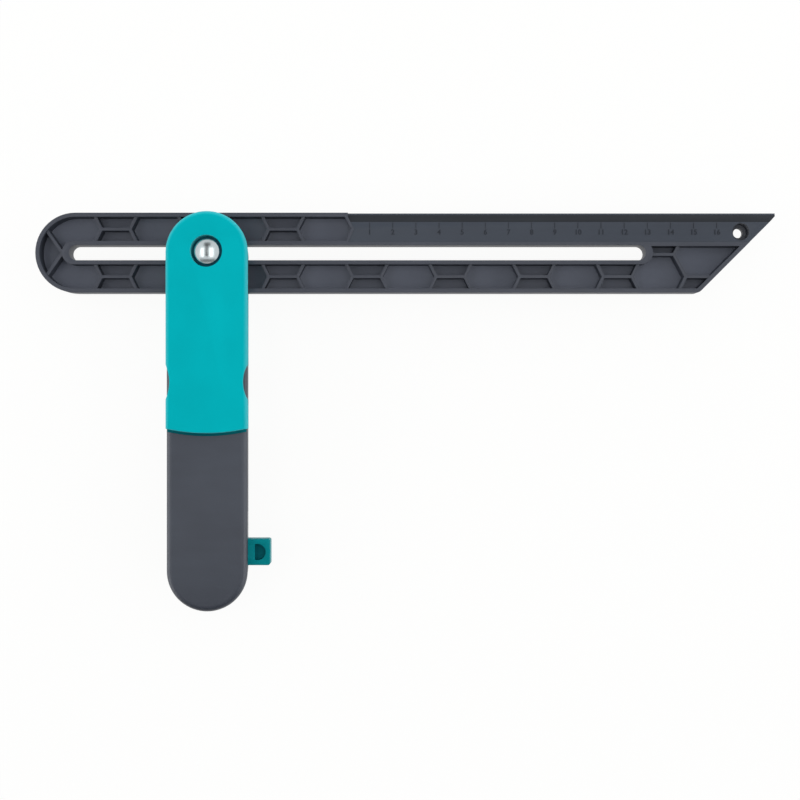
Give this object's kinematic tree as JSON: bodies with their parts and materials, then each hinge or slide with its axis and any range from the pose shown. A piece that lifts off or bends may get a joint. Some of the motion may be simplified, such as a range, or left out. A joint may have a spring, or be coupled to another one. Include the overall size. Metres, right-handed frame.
{
  "type": "sliding t-bevel",
  "caption": "Angle-setting tool: a ribbed, slotted blade with a ruler edge turns and slides in a two-cheek handle and is locked by a lever at the butt.",
  "frame": {"origin": "where the pivot axis meets the flat back face that the tool lies on", "axes": "+X along the blade to its slanted tip, -Y down the handle, +Z out of the front face"},
  "size_m": [0.32, 0.1715, 0.0255],
  "materials": {
    "blade_nylon": "fine matt moulded",
    "body_nylon": "fine matt moulded",
    "grip_teal": "soft matt overmould",
    "lever_teal": "satin moulded",
    "bolt_polished": "polished",
    "steel": "plain ground",
    "brass": "turned"
  },
  "bodies": {
    "handle": {"front_body": "body_nylon", "back_body": "body_nylon", "back_liner": "blade_nylon", "front_grip": "grip_teal", "back_grip": "grip_teal", "head_washer": "steel", "wear_plate": "steel", "return_spring": "steel", "lever_pin": "steel", "body_screws": "steel", "liner_screws": "steel"},
    "slot_key": {"slot_block": "brass"},
    "blade": {"blade": "blade_nylon"},
    "cam_lever": {"cam_lever": "lever_teal"},
    "lock_rod": {"lock_rod": "steel", "wedge_fork": "steel", "follower_nose": "brass", "spring_collar": "steel"},
    "pivot_bolt": {"pivot_bolt": "bolt_polished", "clamp_nut": "steel"}
  },
  "joints": [
    {"name": "blade_angle", "type": "hinge", "parent": "handle", "child": "slot_key", "pos_m": [0, 0, 0.0145], "axis": [0, 0, 1], "range_deg": [-68, 70]},
    {"name": "blade_slide", "type": "slide", "parent": "slot_key", "child": "blade", "axis": [1, 0, 0], "range_m": [-0.1826, 0.054]},
    {"name": "lever_swing", "type": "hinge", "parent": "handle", "child": "cam_lever", "pos_m": [0, -0.1294, 0.0145], "axis": [0, 0, -1], "range_deg": [0, 90]},
    {"name": "rod_push", "type": "slide", "parent": "handle", "child": "lock_rod", "axis": [0, 1, 0], "range_m": [0, 0.002], "deforming": ["return_spring"]},
    {"name": "bolt_draw", "type": "slide", "parent": "handle", "child": "pivot_bolt", "axis": [0, 0, -1], "range_m": [0, 0.0003]}
  ],
  "couplings": [
    {"joint": "lever_swing", "follows": "rod_push", "rad_per_m": 785.39},
    {"joint": "bolt_draw", "follows": "rod_push", "ratio": 0.15}
  ]
}
